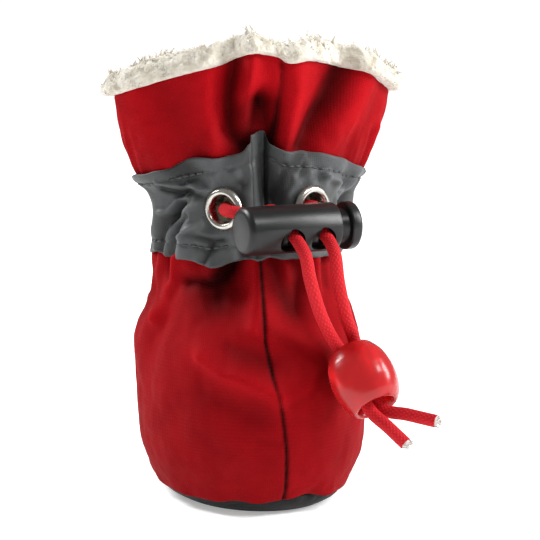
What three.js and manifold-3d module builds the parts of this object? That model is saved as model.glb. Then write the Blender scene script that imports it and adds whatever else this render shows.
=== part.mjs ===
// Drawstring dog shoe: a padded cloth bootie on an oval rubber sole. A wide tape round the neck holds a drawcord,
// which leaves by two eyelets, runs through a spring cord lock and ends below a bell-shaped bead.
// Millimetres, +Z up, the toe points to -Y, and the origin is the middle of the sole's flat underside.
import * as THREE from "three";
import { mergeVertices } from "three/addons/utils/BufferGeometryUtils.js";
import Module from "manifold-3d";

const wasm = await Module();
wasm.setup();

// Sole and insole
const soleLength = 45;
const soleWidth = 35.4;
const soleThickness = 3.2;
const soleToeShare = 0.53;
const soleBevel = 4.4;
const insoleThickness = 1.8;
const gap = 0.3;

// Upper
const collarHeight = 84;
const ballWidth = 44;
const footLength = 51;
const neckWidth = 36.4;
const neckDepth = 28;
const cuffWidth = 55;
const cuffDepth = 25;
const clothWall = 1.6;
const edgeOverhang = 0.8;

// Tape, eyelets and fleece
const tapeThickness = 0.9;
const tapeBottomLevel = 7;
const tapeTopLevel = 11;
const eyeletAngle = 26;
const eyeletLevel = 9;
const eyeletHoleRadius = 2.6;
const eyeletTubeWall = 0.4;
const eyeletFlangeRadius = 4.1;
const eyeletFlangeHeight = 1.1;
const eyeletWasherThickness = 0.5;
const fleeceHeight = 4.2;
const fleeceThickness = 2.6;
const fleeceOverhang = 0.9;
const fleeceSideOverhang = 1.3;
const fleeceDepth = 1.4;
const lockOfWoolCount = 22;
const lockOfWoolLength = 2.4;

// Cord, cord lock and bead
const cordDiameter = 2.4;
const lockDiameter = 9;
const lockLength = 19;
const lockWall = 0.9;
const lockHoleRadius = 2.5;
const lockHoleSpacing = 6.4;
const lockHoleTilt = 28;
const lockYaw = 12;
const lockTravel = 2;
const lockAngle = 3;
const lockLevel = 8.2;
const lockStandOff = 9.6;
const plungerHeadThickness = 2.2;
const springWire = 0.6;
const springTurns = 5;
const beadRadius = 6.1;
const beadLength = 12.4;
const beadStandOff = 7.4;
const beadAngle = 26;
const beadLevel = 3.9;
const beadAxis = new THREE.Vector3(0.22, -0.62, -0.75).normalize();

const radians = THREE.MathUtils.degToRad;
const up = new THREE.Vector3(0, 0, 1);

// The upper's sections, from the sole edge up to the collar. Each row has the height at the front, the half width,
// the reach forward and back, the pinch of its sides (1 is an ellipse, more is a lens) and how far the sides droop.
const edgeHeight = soleThickness + gap;
const soleFront = soleLength * soleToeShare;
const soleBack = soleLength - soleFront;
const lift = collarHeight - edgeHeight;
const sections = [
  { height: 0, side: soleWidth / 2 + edgeOverhang, front: soleFront + edgeOverhang,
    back: soleBack + edgeOverhang, pinch: 0.94, droop: 0 },
  { height: 0.04, side: 0.457 * ballWidth, front: 0.515 * footLength, back: 0.443 * footLength, pinch: 0.94, droop: 0 },
  { height: 0.1, side: 0.489 * ballWidth, front: 0.545 * footLength, back: 0.457 * footLength, pinch: 0.95, droop: 0 },
  { height: 0.2, side: 0.5 * ballWidth, front: 0.549 * footLength, back: 0.451 * footLength, pinch: 0.97, droop: 0 },
  { height: 0.3, side: 0.493 * ballWidth, front: 0.52 * footLength, back: 0.424 * footLength, pinch: 1, droop: 0 },
  { height: 0.39, side: 0.463 * ballWidth, front: 0.446 * footLength, back: 0.376 * footLength, pinch: 1, droop: 0 },
  { height: 0.475, side: 0.507 * neckWidth, front: 0.655 * neckDepth, back: 0.594 * neckDepth, pinch: 1, droop: 0 },
  { height: 0.55, side: 0.495 * neckWidth, front: 0.57 * neckDepth, back: 0.538 * neckDepth, pinch: 1.02, droop: 0.004 },
  { height: 0.612, side: 0.497 * neckWidth, front: 0.531 * neckDepth, back: 0.51 * neckDepth, pinch: 1.05, droop: 0.01 },
  { height: 0.673, side: 0.5 * neckWidth, front: 0.503 * neckDepth, back: 0.483 * neckDepth, pinch: 1.08, droop: 0.02 },
  { height: 0.739, side: 0.53 * neckWidth, front: 0.496 * neckDepth, back: 0.472 * neckDepth, pinch: 1.12, droop: 0.042 },
  { height: 0.8, side: 0.4 * cuffWidth, front: 0.55 * cuffDepth, back: 0.52 * cuffDepth, pinch: 1.18, droop: 0.068 },
  { height: 0.867, side: 0.444 * cuffWidth, front: 0.534 * cuffDepth, back: 0.5 * cuffDepth, pinch: 1.24, droop: 0.08 },
  { height: 0.94, side: 0.479 * cuffWidth, front: 0.52 * cuffDepth, back: 0.488 * cuffDepth, pinch: 1.28, droop: 0.088 },
  { height: 1, side: 0.5 * cuffWidth, front: 0.505 * cuffDepth, back: 0.475 * cuffDepth, pinch: 1.3, droop: 0.093 },
];
const collarLevel = sections.length - 1;
const droopPower = 1.5;
const backDroop = 0.03;

// The folds: the angle from the toe towards +X and the level where each is deepest, its half width in degrees and
// its half height in levels, how far it leans in degrees a level, its depth and its rise as shares of the wall.
const folds = [
  { angle: -1, level: 10, wide: 6, tall: 3, lean: 0, out: -1.8, rise: 0.9 },
  { angle: -9, level: 13.2, wide: 6, tall: 2.4, lean: 0, out: 1.1, rise: 0.7 },
  { angle: -18, level: 12.9, wide: 5, tall: 2.4, lean: 1, out: -1, rise: 0 },
  { angle: 10, level: 13.2, wide: 8, tall: 2.5, lean: 0, out: 0.8, rise: -0.6 },
  { angle: 27, level: 12.8, wide: 9, tall: 2.4, lean: 2.5, out: -1.5, rise: 0 },
  { angle: -64, level: 8.4, wide: 8, tall: 2.2, lean: 7, out: -2, rise: 0 },
  { angle: -50, level: 8.4, wide: 7, tall: 1.8, lean: 7, out: 1, rise: 0 },
  { angle: -98, level: 5.6, wide: 22, tall: 1.6, lean: 0, out: 1.2, rise: 0 },
  { angle: -70, level: 5.6, wide: 7, tall: 1.7, lean: 5, out: -1.2, rise: 0 },
  { angle: -38, level: 6.7, wide: 8, tall: 1.4, lean: 3, out: 0.7, rise: -0.5 },
  { angle: -21, level: 6.5, wide: 8, tall: 1.1, lean: 2, out: -1.2, rise: 0 },
  { angle: -8, level: 6.2, wide: 5, tall: 1.3, lean: 0, out: 0.8, rise: 0 },
  { angle: 13, level: 6.5, wide: 8, tall: 1.4, lean: 0, out: -0.9, rise: 0 },
  { angle: -20, level: 4.3, wide: 17, tall: 0.6, lean: -14, out: 0.8, rise: 0 },
  { angle: 40, level: 4.6, wide: 14, tall: 0.8, lean: 8, out: 0.5, rise: 0 },
  { angle: 64, level: 9, wide: 7, tall: 2, lean: -5, out: -1.6, rise: 0 },
  { angle: 84, level: 8.6, wide: 8, tall: 2, lean: -3, out: 0.8, rise: 0 },
  { angle: 78, level: 5.8, wide: 8, tall: 1.6, lean: -4, out: -0.7, rise: 0 },
  { angle: 106, level: 9, wide: 8, tall: 2.4, lean: 3, out: -1.7, rise: 0 },
  { angle: 134, level: 8.8, wide: 8, tall: 2.8, lean: -2, out: -1.5, rise: 0 },
  { angle: 160, level: 9.2, wide: 7, tall: 2.4, lean: 2, out: -1.8, rise: 0 },
  { angle: 184, level: 9, wide: 7, tall: 3.2, lean: 0, out: -1.7, rise: 0.5 },
  { angle: 208, level: 8.8, wide: 8, tall: 2.5, lean: -2, out: -1.8, rise: 0 },
  { angle: 233, level: 9.1, wide: 8, tall: 2.7, lean: 2, out: -1.6, rise: 0 },
  { angle: 257, level: 8.9, wide: 8, tall: 2.2, lean: -3, out: -1.5, rise: 0 },
];

// The value of one column between the rows, on a smooth curve through them.
function columnAt(column, level) {
  const low = Math.min(Math.max(Math.floor(level), 0), collarLevel - 1);
  const row = (index) => sections[Math.min(Math.max(index, 0), collarLevel)][column];
  const [before, here, next, after] = [row(low - 1), row(low), row(low + 1), row(low + 2)];
  const t = level - low;
  const slopeHere = (next - before) / 2;
  const slopeNext = (after - here) / 2;
  return (
    here * (1 - t) ** 2 * (1 + 2 * t) +
    slopeHere * t * (1 - t) ** 2 +
    next * t ** 2 * (3 - 2 * t) -
    slopeNext * t ** 2 * (1 - t)
  );
}

// How far the folds push a place of the wall outwards, and how far they raise it, in mm.
function foldAt(angle, level) {
  let out = 0;
  let rise = 0;
  for (const fold of folds) {
    const above = level - fold.level;
    let aside = THREE.MathUtils.radToDeg(angle) - fold.angle - fold.lean * above;
    aside -= 360 * Math.round(aside / 360);
    const share = Math.exp(-((aside / fold.wide) ** 2) - (above / fold.tall) ** 2);
    out += fold.out * share;
    rise += fold.rise * share;
  }
  return { out: out * clothWall, rise: rise * clothWall };
}

// An oval's edge at an angle from the toe: half width, reach forward, reach back and pinch.
function ovalPoint(angle, side, front, back, pinch) {
  const along = Math.cos(angle);
  const reach = along > 0 ? front : back;
  return new THREE.Vector3(side * Math.sin(angle), -reach * Math.sign(along) * Math.abs(along) ** pinch, 0);
}

function smoothWallPoint(angle, level) {
  const at = (column) => columnAt(column, level);
  const point = ovalPoint(angle, at("side"), at("front"), at("back"), at("pinch"));
  const sideShare = Math.abs(Math.sin(angle)) ** droopPower;
  const backShare = Math.max(-Math.cos(angle), 0) * (level / collarLevel) ** 2;
  point.z = edgeHeight + lift * (at("height") - at("droop") * sideShare - backDroop * backShare);
  return point;
}

// The level outward direction of the wall at a place.
function wallNormal(angle, level) {
  const step = 0.02;
  const along = smoothWallPoint(angle + step, level).sub(smoothWallPoint(angle - step, level));
  return new THREE.Vector3(along.y, -along.x, 0).normalize();
}

// A point of the upper's outer face, moved outwards by a distance.
function wallPoint(angle, level, outwards) {
  const fold = foldAt(angle, level);
  const point = smoothWallPoint(angle, level);
  point.addScaledVector(wallNormal(angle, level), fold.out + outwards);
  point.z += fold.rise;
  return point;
}

// Angles round the shoe, closer together at the front, where the folds are.
function anglesRound(count) {
  const crowding = 0.28;
  return Array.from({ length: count }, (_, index) => {
    const turn = (2 * Math.PI * index) / count;
    return turn - crowding * Math.sin(turn);
  });
}

function levelsBetween(from, to, steps) {
  return Array.from({ length: steps + 1 }, (_, index) => from + ((to - from) * index) / steps);
}

// A closed body through rings of equal length. The rings either meet again, as round a tube, or are capped.
// Each four-sided face is split from its lower left to its upper right, so that faces side by side bend alike.
function loft(rings, meetsAgain) {
  const count = rings[0].length;
  const positions = rings.flat().flatMap((point) => [point.x, point.y, point.z]);
  const triangles = [];
  const spans = meetsAgain ? rings.length : rings.length - 1;
  for (let i = 0; i < spans; i++) {
    const below = i * count;
    const above = ((i + 1) % rings.length) * count;
    for (let j = 0; j < count; j++) {
      const next = (j + 1) % count;
      const climbs = positions[3 * (above + j) + 2] >= positions[3 * (below + j) + 2];
      triangles.push(below + j, below + next, climbs ? above + next : above + j);
      triangles.push(climbs ? below + j : below + next, above + next, above + j);
    }
  }
  if (!meetsAgain) {
    const last = (rings.length - 1) * count;
    for (let j = 1; j < count - 1; j++) {
      triangles.push(0, j + 1, j, last, last + j, last + j + 1);
    }
  }
  const geometry = new THREE.BufferGeometry();
  geometry.setAttribute("position", new THREE.Float32BufferAttribute(positions, 3));
  geometry.setIndex(triangles);
  return geometry;
}

function solidFrom(geometry) {
  const bare = new THREE.BufferGeometry().setAttribute("position", geometry.getAttribute("position"));
  if (geometry.index) bare.setIndex(geometry.index);
  const merged = mergeVertices(bare, 1e-3);
  return new wasm.Manifold(
    new wasm.Mesh({
      numProp: 3,
      vertProperties: merged.attributes.position.array,
      triVerts: new Uint32Array(merged.index.array),
    }),
  );
}

function geometryFrom(solid) {
  const mesh = solid.getMesh();
  const geometry = new THREE.BufferGeometry();
  geometry.setAttribute("position", new THREE.BufferAttribute(mesh.vertProperties, 3));
  geometry.setIndex(new THREE.BufferAttribute(mesh.triVerts, 1));
  return geometry;
}

function lathe(profile, segments) {
  return new THREE.LatheGeometry(profile.map(([radius, height]) => new THREE.Vector2(radius, height)), segments);
}

const finishes = {
  redCloth: { color: 0xa5121e, roughness: 0.75, metalness: 0 },
  greyTape: { color: 0x4d4f4f, roughness: 0.5, metalness: 0.1 },
  fleece: { color: 0xd9d2c2, roughness: 1, metalness: 0 },
  blackRubber: { color: 0x191919, roughness: 0.7, metalness: 0 },
  nickel: { color: 0xd5d3cc, roughness: 0.25, metalness: 1 },
  blackPlastic: { color: 0x262728, roughness: 0.45, metalness: 0 },
  springSteel: { color: 0xb5b7b8, roughness: 0.3, metalness: 1 },
  redCord: { color: 0xcc242e, roughness: 0.85, metalness: 0 },
  redPlastic: { color: 0xd8262b, roughness: 0.25, metalness: 0 },
};

function piece(name, geometry, finish) {
  const mesh = new THREE.Mesh(geometry, new THREE.MeshStandardMaterial(finishes[finish]));
  mesh.name = name;
  return mesh;
}

const roundUpper = anglesRound(48);

function soleRing(inset, height) {
  return roundUpper.map((angle) => {
    const point = ovalPoint(angle, soleWidth / 2 - inset, soleFront - inset, soleBack - inset, sections[0].pinch);
    point.z = height;
    return point;
  });
}

function outsole() {
  const rings = [
    soleRing(soleBevel, 0),
    soleRing(0.45 * soleBevel, 0.25 * soleThickness),
    soleRing(0.12 * soleBevel, 0.6 * soleThickness),
    soleRing(0, soleThickness),
  ];
  return piece("outsole", loft(rings, false), "blackRubber");
}

function insole() {
  const inset = clothWall - edgeOverhang + gap;
  const rings = [
    soleRing(inset, edgeHeight),
    soleRing(inset, edgeHeight + 0.75 * insoleThickness),
    soleRing(inset + 0.5, edgeHeight + insoleThickness),
  ];
  return piece("insole", loft(rings, false), "fleece");
}

// A sleeve of the wall between two levels and two distances from the upper's outer face.
function sleeve(levels, outer, inner) {
  const ringAt = (level, outwards) => roundUpper.map((angle) => wallPoint(angle, level, outwards));
  return loft([
    ...levels.map((level) => ringAt(level, outer)),
    ...levels.toReversed().map((level) => ringAt(level, inner)),
  ], true);
}

// Eyelets, each on the tape's face and square to the wall
const tapeFace = gap + tapeThickness;
const tapeToWasher = tapeFace + clothWall + gap;

function eyeletPlace(side) {
  const angle = radians(side * eyeletAngle);
  return {
    position: wallPoint(angle, eyeletLevel, tapeFace),
    quaternion: new THREE.Quaternion().setFromUnitVectors(new THREE.Vector3(0, 1, 0), wallNormal(angle, eyeletLevel)),
  };
}

function placed(object, place) {
  object.position.copy(place.position);
  object.quaternion.copy(place.quaternion);
  return object;
}

function eyelet(name, side) {
  const tubeRadius = eyeletHoleRadius + eyeletTubeWall;
  const rollMiddle = (eyeletHoleRadius + eyeletFlangeRadius) / 2;
  const washer = -tapeToWasher - eyeletWasherThickness;
  const profile = [
    [eyeletHoleRadius, washer],
    [eyeletFlangeRadius, washer],
    [eyeletFlangeRadius, -tapeToWasher],
    [tubeRadius, -tapeToWasher],
    [tubeRadius, gap],
    [eyeletFlangeRadius, gap],
    [eyeletFlangeRadius, gap + 0.4 * eyeletFlangeHeight],
    [rollMiddle + 0.3, gap + 0.95 * eyeletFlangeHeight],
    [rollMiddle - 0.2, gap + eyeletFlangeHeight],
    [eyeletHoleRadius + 0.15, gap + 0.75 * eyeletFlangeHeight],
    [eyeletHoleRadius, gap + 0.3 * eyeletFlangeHeight],
    [eyeletHoleRadius, washer],
  ];
  return placed(piece(name, lathe(profile, 16), "nickel"), eyeletPlace(side));
}

// The room that an eyelet takes in the tape and the wall: its tube, and a seat for its flange and its washer.
function eyeletRoom(side) {
  const hole = eyeletHoleRadius + eyeletTubeWall + gap;
  const seat = eyeletFlangeRadius + gap;
  const reach = 3 * eyeletFlangeRadius;
  const profile = [
    [0, -reach],
    [seat, -reach],
    [seat, gap - tapeToWasher],
    [hole, gap - tapeToWasher],
    [hole, 0],
    [seat, 0],
    [seat, reach / 2],
    [0, reach / 2],
  ];
  const room = placed(new THREE.Object3D(), eyeletPlace(side));
  room.updateMatrix();
  return solidFrom(lathe(profile, 16).applyMatrix4(room.matrix));
}

function withEyeletHoles(geometry) {
  return geometryFrom(solidFrom(geometry).subtract(eyeletRoom(-1)).subtract(eyeletRoom(1)));
}

// The upper and its tape share the tape's levels, so that their facets run side by side.
const tapeLevels = levelsBetween(tapeBottomLevel, tapeTopLevel, 6);

function upper() {
  const foot = [0, 0.5, 1, 2, 3, 3.8, 4.6, 5.4, 6.2];
  const cuff = [11.6, 12.4, 13.2, 14];
  const geometry = withEyeletHoles(sleeve([...foot, ...tapeLevels, ...cuff], 0, -clothWall));
  return piece("upper", geometry, "redCloth");
}

function reflectiveTape() {
  return piece("reflective_tape", withEyeletHoles(sleeve(tapeLevels, tapeFace, gap)), "greyTape");
}

// The fleece's edge: it lines the collar, rolls over the top of the wall and stands up in ragged locks of wool.
const raggedness = (angle, phase) => Math.sin(7 * angle + phase) * 0.5 + Math.sin(17 * angle - 2 * phase) * 0.5;

function fleecePoint(angle, outwards, height) {
  const point = wallPoint(angle, collarLevel, outwards);
  point.z += height;
  return point;
}

function fleeceFace(angle) {
  return fleeceOverhang + fleeceSideOverhang * Math.sin(angle) ** 4;
}

function fleeceCollar() {
  const inside = -clothWall - gap;
  const rough = 0.12 * fleeceHeight;
  const lined = (angle, level, depth) => wallPoint(angle, level, inside - depth);
  const profileAt = (angle) => [
    lined(angle, collarLevel - fleeceDepth, 0),
    lined(angle, collarLevel - 0.5 * fleeceDepth, 0),
    fleecePoint(angle, inside, gap),
    fleecePoint(angle, fleeceFace(angle), gap),
    fleecePoint(angle, fleeceFace(angle) + rough * (1 + raggedness(angle, 1)), 0.4 * fleeceHeight),
    fleecePoint(angle, 0.4 * fleeceFace(angle) + rough * raggedness(angle, 2), 0.9 * fleeceHeight),
    fleecePoint(angle, -0.8 * clothWall, fleeceHeight + rough * raggedness(angle, 4)),
    fleecePoint(angle, inside - 0.8 * fleeceThickness, 0.7 * fleeceHeight + rough * raggedness(angle, 3)),
    lined(angle, collarLevel - 0.4 * fleeceDepth, fleeceThickness),
    lined(angle, collarLevel - fleeceDepth, fleeceThickness),
  ];
  const profiles = anglesRound(48).map(profileAt);
  const rings = profiles[0].map((_, index) => profiles.map((profile) => profile[index]));
  let fleece = solidFrom(loft(rings, true));
  for (const wool of locksOfWool()) fleece = fleece.add(wool);
  return piece("fleece_collar", geometryFrom(fleece), "fleece");
}

function locksOfWool() {
  const radius = 0.4 * fleeceHeight;
  return Array.from({ length: lockOfWoolCount }, (_, index) => {
    const angle = (2 * Math.PI * (index + 0.3 * Math.sin(5 * index))) / lockOfWoolCount;
    const root = fleecePoint(angle, 0.2 * fleeceFace(angle), 0.5 * fleeceHeight);
    const lean = wallNormal(angle, collarLevel).multiplyScalar(0.35 + 0.3 * Math.sin(3 * index));
    const direction = lean.add(up).normalize();
    const length = lockOfWoolLength * (1 + 0.35 * Math.sin(2 * index + 1));
    const cone = new THREE.ConeGeometry(radius, length + radius, 5).translate(0, (length + radius) / 2, 0);
    cone.applyQuaternion(new THREE.Quaternion().setFromUnitVectors(new THREE.Vector3(0, 1, 0), direction));
    return solidFrom(cone.translate(root.x, root.y, root.z));
  });
}

// The cord lock, built about its own axis as Y with its two cord holes along Z
const lockMiddle = wallPoint(radians(lockAngle), lockLevel, tapeFace + lockStandOff);
const lockAxis = new THREE.Vector3(Math.cos(radians(lockYaw)), Math.sin(radians(lockYaw)), 0);
const lockForward = new THREE.Vector3(Math.sin(radians(lockYaw)), -Math.cos(radians(lockYaw)), 0);
const lockHoleAxis = lockForward.clone().multiplyScalar(Math.cos(radians(lockHoleTilt)));
lockHoleAxis.addScaledVector(up, -Math.sin(radians(lockHoleTilt)));

const lockRadius = lockDiameter / 2;
const lockBoreRadius = lockRadius - lockWall;
const lockClosedEnd = -0.54 * lockLength;
const lockOpenEnd = lockClosedEnd + lockLength;
const lockHoleMiddle = 0.09 * lockLength;
const lockHoles = [lockHoleMiddle - lockHoleSpacing / 2, lockHoleMiddle + lockHoleSpacing / 2];
const plungerTail = lockHoles[0] + lockTravel - lockHoleRadius - 0.8;
const springStart = lockClosedEnd + lockWall + gap;
const springEnd = plungerTail - gap;

function crossHole(place) {
  const hole = new THREE.CylinderGeometry(lockHoleRadius, lockHoleRadius, 2 * lockDiameter, 16);
  return solidFrom(hole.rotateX(Math.PI / 2).translate(0, place, 0));
}

function lockBarrel() {
  const chamfer = 0.12 * lockRadius;
  const profile = [
    [0, lockClosedEnd],
    [lockRadius - chamfer, lockClosedEnd],
    [lockRadius, lockClosedEnd + chamfer],
    [lockRadius, lockOpenEnd],
    [lockBoreRadius, lockOpenEnd],
    [lockBoreRadius, lockClosedEnd + lockWall],
    [0, lockClosedEnd + lockWall],
  ];
  let barrel = solidFrom(lathe(profile, 20));
  for (const place of lockHoles) barrel = barrel.subtract(crossHole(place));
  return piece("lock_barrel", geometryFrom(barrel), "blackPlastic");
}

function lockPlunger() {
  const rodRadius = lockBoreRadius - gap;
  const headStart = lockOpenEnd + lockTravel + 0.1;
  const headEnd = headStart + plungerHeadThickness;
  const chamfer = 0.2 * plungerHeadThickness;
  const profile = [
    [0, plungerTail],
    [rodRadius, plungerTail],
    [rodRadius, headStart],
    [lockRadius - chamfer, headStart],
    [lockRadius, headStart + chamfer],
    [lockRadius, headEnd - chamfer],
    [lockRadius - chamfer, headEnd],
    [0, headEnd],
  ];
  let plunger = solidFrom(lathe(profile, 20));
  for (const place of lockHoles) plunger = plunger.subtract(crossHole(place + lockTravel));
  return piece("lock_plunger", geometryFrom(plunger), "blackPlastic");
}

class SpringLine extends THREE.Curve {
  getPoint(t, target = new THREE.Vector3()) {
    const radius = lockBoreRadius - 2 * gap - springWire;
    const turn = 2 * Math.PI * springTurns * t;
    const height = springStart + springWire / 2 + (springEnd - springStart - springWire) * t;
    return target.set(radius * Math.cos(turn), height, radius * Math.sin(turn));
  }
}

// A round wire or cord along a line.
function strand(line, diameter, sides, steps) {
  const section = new THREE.Shape(new THREE.EllipseCurve(0, 0, diameter / 2, diameter / 2).getPoints(sides).slice(0, -1));
  return new THREE.ExtrudeGeometry(section, { steps, extrudePath: line });
}

function lockSpring() {
  return piece("lock_spring", strand(new SpringLine(), springWire, 5, 10 * springTurns), "springSteel");
}

function cordLock() {
  const group = new THREE.Group();
  const side = new THREE.Vector3().crossVectors(lockAxis, lockHoleAxis);
  group.quaternion.setFromRotationMatrix(new THREE.Matrix4().makeBasis(side, lockAxis, lockHoleAxis));
  group.position.copy(lockMiddle);
  group.add(lockBarrel(), lockPlunger(), lockSpring());
  return group;
}

// The bell-shaped bead: a rounded square outside, and a round bore that flares at the mouth
const beadMiddle = wallPoint(radians(beadAngle), beadLevel, beadStandOff);

function cordBead() {
  const bore = cordDiameter + 2 * gap;
  const half = beadLength / 2;
  const rows = [
    { along: -half, radius: bore + 0.6, square: 2 },
    { along: -0.88 * half, radius: 0.71 * beadRadius, square: 2.3 },
    { along: -0.52 * half, radius: 0.92 * beadRadius, square: 2.6 },
    { along: -0.05 * half, radius: beadRadius, square: 2.7 },
    { along: 0.4 * half, radius: 0.97 * beadRadius, square: 2.7 },
    { along: 0.78 * half, radius: 0.85 * beadRadius, square: 2.4 },
    { along: half, radius: 0.66 * beadRadius, square: 2.1 },
    { along: 0.93 * half, radius: bore + 0.55, square: 2 },
    { along: 0.6 * half, radius: bore + 0.1, square: 2 },
    { along: -0.9 * half, radius: bore, square: 2 },
  ];
  const sides = 16;
  const rings = rows.map(({ along, radius, square }) =>
    Array.from({ length: sides }, (_, index) => {
      const turn = (2 * Math.PI * index) / sides;
      const [x, z] = [Math.sin(turn), Math.cos(turn)];
      const reach = radius / (Math.abs(x) ** square + Math.abs(z) ** square) ** (1 / square);
      return new THREE.Vector3(reach * x, along, reach * z);
    }),
  );
  const bead = piece("cord_bead", loft(rings, true), "redPlastic");
  bead.position.copy(beadMiddle);
  bead.quaternion.setFromUnitVectors(new THREE.Vector3(0, 1, 0), beadAxis);
  return bead;
}

// The drawcord's two strands: out of the eyelet, through the lock, down into the bead and on to the cut end
const cordRoutes = {
  drawcord_left: [
    [-7.5, -11.3, 57.2],
    [-8.4, -13.7, 57.2],
    [-8.8, -15.5, 57.2],
    [-7.8, -17.7, 57],
    [-5.4, -18.7, 56.7],
    [-2.6, -18.6, 56.9],
    [-0.7, -18.7, 57.2],
    [-0.05, -19.6, 56.9],
    [0.3, -21.3, 55.9],
    [0.91, -24.2, 54.4],
    [1.9, -28.9, 51.8],
    [2.4, -30.6, 50],
    [3.1, -31, 46],
    [5.6, -29.6, 39],
    [8.8, -27.4, 33.6],
    [10.6, -27.5, 31],
    [12, -31.4, 26.4],
    [13.4, -35.2, 21.8],
    [15.7, -38.6, 19.3],
    [18.2, -41.4, 16.6],
  ],
  drawcord_right: [
    [7.5, -11.3, 57.2],
    [8.4, -13.6, 57.2],
    [8.7, -14.9, 57.2],
    [8.2, -16.5, 57.2],
    [7, -17.3, 57.2],
    [6.25, -18.1, 57],
    [6.36, -19, 56.5],
    [6.7, -20.6, 55.6],
    [7.17, -22.9, 54.4],
    [8.1, -27.6, 51.8],
    [8.4, -29.4, 49.8],
    [9, -29.6, 45],
    [11.2, -27.4, 38],
    [13.3, -25.6, 33.4],
    [13.4, -26.5, 31],
    [14.8, -30.4, 26.4],
    [16.1, -34.3, 21.8],
    [19.8, -38, 21.2],
    [24, -41.2, 20.4],
  ],
};

function drawcord(name) {
  const route = new THREE.CatmullRomCurve3(cordRoutes[name].map((point) => new THREE.Vector3(...point)));
  return piece(name, strand(route, cordDiameter, 8, 30), "redCord");
}

const shoe = new THREE.Group();
shoe.add(
  outsole(),
  insole(),
  upper(),
  reflectiveTape(),
  fleeceCollar(),
  eyelet("eyelet_left", -1),
  eyelet("eyelet_right", 1),
  cordLock(),
  cordBead(),
);
for (const name of Object.keys(cordRoutes)) shoe.add(drawcord(name));

export default shoe;
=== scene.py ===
# A small drawstring dog boot: padded red cloth, a fleece collar, a grey tape, a cord lock and a bead.
import bpy
import bmesh
import functools
import math
import random
from math import cos, exp, hypot, pi, radians, sin
from mathutils import Matrix, Quaternion, Vector, noise


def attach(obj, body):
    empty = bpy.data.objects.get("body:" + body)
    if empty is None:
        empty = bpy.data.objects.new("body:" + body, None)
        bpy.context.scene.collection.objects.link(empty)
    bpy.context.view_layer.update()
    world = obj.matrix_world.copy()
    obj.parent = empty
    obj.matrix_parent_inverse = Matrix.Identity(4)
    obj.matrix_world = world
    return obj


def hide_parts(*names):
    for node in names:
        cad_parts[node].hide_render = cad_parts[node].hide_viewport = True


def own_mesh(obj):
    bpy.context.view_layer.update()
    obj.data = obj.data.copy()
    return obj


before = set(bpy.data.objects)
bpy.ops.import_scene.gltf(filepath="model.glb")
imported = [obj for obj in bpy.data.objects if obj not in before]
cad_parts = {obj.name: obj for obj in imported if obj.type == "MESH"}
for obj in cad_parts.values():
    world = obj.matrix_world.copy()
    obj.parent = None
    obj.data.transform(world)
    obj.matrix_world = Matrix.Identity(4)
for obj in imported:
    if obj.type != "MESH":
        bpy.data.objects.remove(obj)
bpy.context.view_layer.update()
mm = 0.001
print("frame loaded")

# The shoe's own surface, as the solids have it. Sizes are in millimetres.
shoe = {
    "soleLength": 45, "soleWidth": 35.4, "soleThickness": 3.2, "soleToeShare": 0.53, "gap": 0.3,
    "collarHeight": 84, "ballWidth": 44, "footLength": 51, "neckWidth": 36.4, "neckDepth": 28,
    "cuffWidth": 55, "cuffDepth": 25, "clothWall": 1.6, "edgeOverhang": 0.8, "backDroop": 0.03,
}
edgeHeight = shoe["soleThickness"] + shoe["gap"]
soleFront = shoe["soleLength"] * shoe["soleToeShare"]
soleBack = shoe["soleLength"] - soleFront
lift = shoe["collarHeight"] - edgeHeight
over = shoe["edgeOverhang"]
spans = {
    "foot": (shoe["ballWidth"], shoe["footLength"]), "neck": (shoe["neckWidth"], shoe["neckDepth"]),
    "cuff": (shoe["cuffWidth"], shoe["cuffDepth"]),
}
columns = ("height", "side", "front", "back", "pinch", "droop")
sections = [dict(zip(columns, (0, shoe["soleWidth"] / 2 + over, soleFront + over, soleBack + over, 0.94, 0)))]
for span, height, side, front, back, pinch, droop in (  # half width and reaches are shares of the span
    ("foot", 0.04, 0.457, 0.515, 0.443, 0.94, 0), ("foot", 0.1, 0.489, 0.545, 0.457, 0.95, 0),
    ("foot", 0.2, 0.5, 0.549, 0.451, 0.97, 0), ("foot", 0.3, 0.493, 0.52, 0.424, 1, 0),
    ("foot", 0.39, 0.463, 0.446, 0.376, 1, 0), ("neck", 0.475, 0.507, 0.655, 0.594, 1, 0),
    ("neck", 0.55, 0.495, 0.57, 0.538, 1.02, 0.004), ("neck", 0.612, 0.497, 0.531, 0.51, 1.05, 0.01),
    ("neck", 0.673, 0.5, 0.503, 0.483, 1.08, 0.02), ("neck", 0.739, 0.53, 0.496, 0.472, 1.12, 0.042),
    ("cuff", 0.8, 0.4, 0.55, 0.52, 1.18, 0.068), ("cuff", 0.867, 0.444, 0.534, 0.5, 1.24, 0.08),
    ("cuff", 0.94, 0.479, 0.52, 0.488, 1.28, 0.088), ("cuff", 1, 0.5, 0.505, 0.475, 1.3, 0.093),
):
    width, length = spans[span]
    sections.append(dict(zip(columns, (height, side * width, front * length, back * length, pinch, droop))))
collarLevel = len(sections) - 1

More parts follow.
